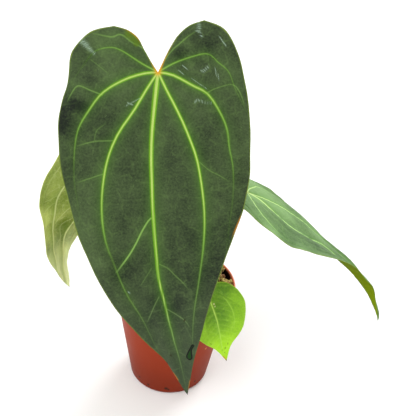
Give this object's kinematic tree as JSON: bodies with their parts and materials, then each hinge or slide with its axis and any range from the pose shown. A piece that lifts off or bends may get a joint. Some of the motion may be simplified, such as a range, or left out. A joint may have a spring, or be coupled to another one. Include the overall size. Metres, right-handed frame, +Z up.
{
  "type": "potted anthurium hybrid",
  "caption": "Young velvet-leaved anthurium hybrid with heart-shaped veined blades on slim stalks, rooted in bark and moss in a tapered round nursery pot that stands on a flat base.",
  "frame": {"origin": "centre of the pot's flat base, where it stands", "axes": "+Z up; the large leaf's upper face looks to -Y, and +X is to its right"},
  "size_m": [0.2584, 0.1401, 0.2736],
  "materials": {
    "pot_plastic": "satin",
    "potting_mix": "matt",
    "stem_skin": "matt",
    "leaf_stalk": "satin",
    "grown_leaf": "velvet",
    "side_leaf": "velvet",
    "young_leaf": "satin",
    "dry_sheath": "matt"
  },
  "bodies": {
    "root": {"pot": "pot_plastic", "substrate": "potting_mix", "stem": "stem_skin", "blade_front": "grown_leaf", "blade_right": "side_leaf", "blade_left": "side_leaf", "blade_young": "young_leaf", "stalk_front": "leaf_stalk", "stalk_right": "leaf_stalk", "stalk_left": "leaf_stalk", "stalk_young": "leaf_stalk", "sheath_1": "dry_sheath", "sheath_2": "dry_sheath", "sheath_3": "dry_sheath"}
  },
  "joints": []
}
